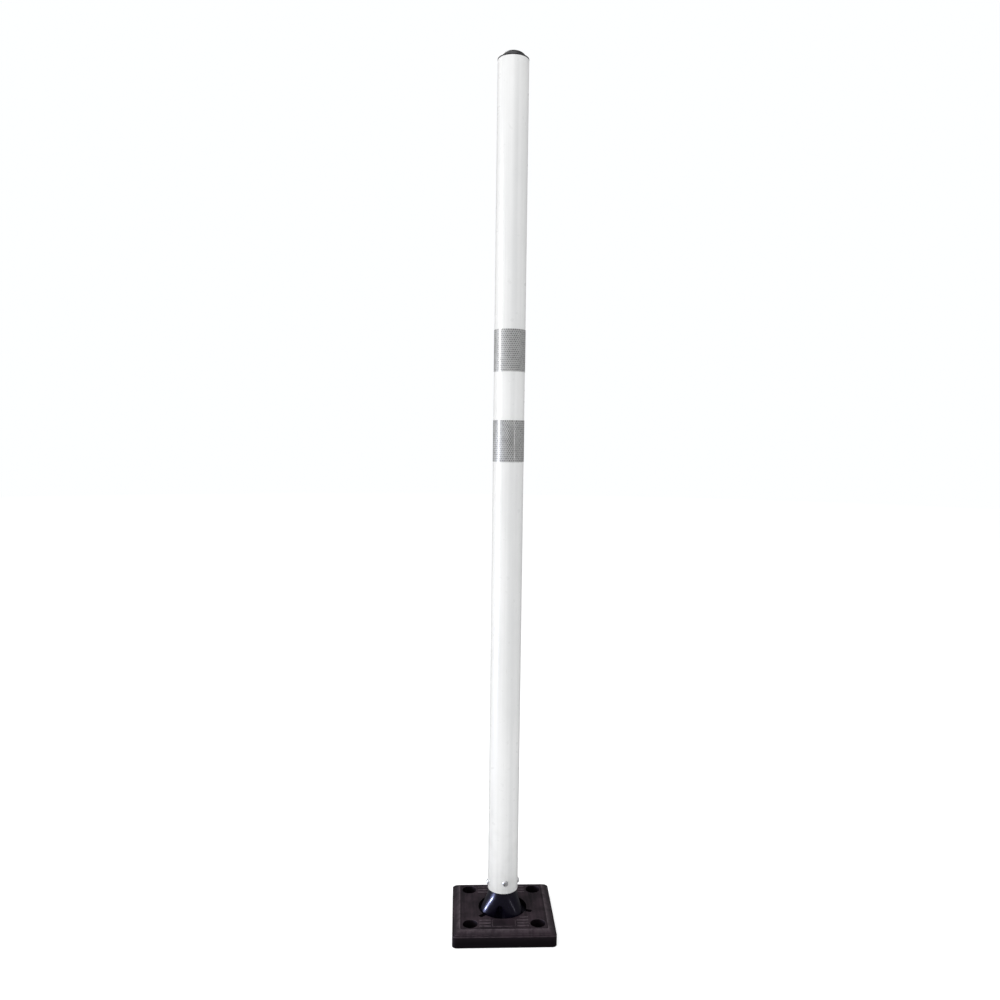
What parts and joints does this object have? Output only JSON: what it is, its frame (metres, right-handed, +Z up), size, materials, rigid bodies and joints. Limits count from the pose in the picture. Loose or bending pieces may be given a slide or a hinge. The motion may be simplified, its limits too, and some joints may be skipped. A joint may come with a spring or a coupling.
{
  "type": "delineator post",
  "caption": "Flexible tubular road delineator post on a square bolt-down rubber base, with a bending hinge, reflective bands and a domed cap.",
  "frame": {"origin": "centre of the base plate's underside, on the road", "axes": "+Z up along the post, +X and +Y square to the base plate's sides, -Y towards the side with the blank panel"},
  "size_m": [0.2032, 0.2032, 1.7176],
  "materials": {
    "base_rubber": "matte recycled rubber, worn paler along its edges",
    "hinge_urethane": "glossy moulded urethane",
    "post_white": "glossy extruded polyethylene",
    "cap_black": "satin moulded polyethylene",
    "sheeting": "prismatic retroreflective film with a cell pattern",
    "rivet_metal": "bright drawn aluminium",
    "mandrel_steel": "plain zinc-plated steel"
  },
  "bodies": {
    "base": {"base_plate": "base_rubber"},
    "foot": {"hinge_foot": "hinge_urethane"},
    "hinge": {"hinge_skirt": "hinge_urethane", "hinge_neck": "hinge_urethane"},
    "post": {"hinge_plug": "hinge_urethane", "post_tube": "post_white", "top_cap": "cap_black", "upper_sheeting": "sheeting", "lower_sheeting": "sheeting", "rivet_bodies": "rivet_metal", "rivet_mandrels": "mandrel_steel", "rivet_washers": "mandrel_steel"}
  },
  "joints": [
    {"name": "twist_lock", "type": "hinge", "parent": "base", "child": "foot", "pos_m": [0, 0, 0.012], "axis": [0, 0, 1], "range_deg": [0, 22]},
    {"name": "bend_x", "type": "hinge", "parent": "foot", "child": "hinge", "pos_m": [0, 0, 0.064], "axis": [1, 0, 0], "range_deg": [-90, 90], "stiffness_Nm_per_rad": 60, "deforming": ["hinge_skirt"]},
    {"name": "bend_y", "type": "hinge", "parent": "hinge", "child": "post", "pos_m": [0, 0, 0.076], "axis": [0, 1, 0], "range_deg": [-90, 90], "stiffness_Nm_per_rad": 60, "deforming": ["hinge_neck"]}
  ]
}
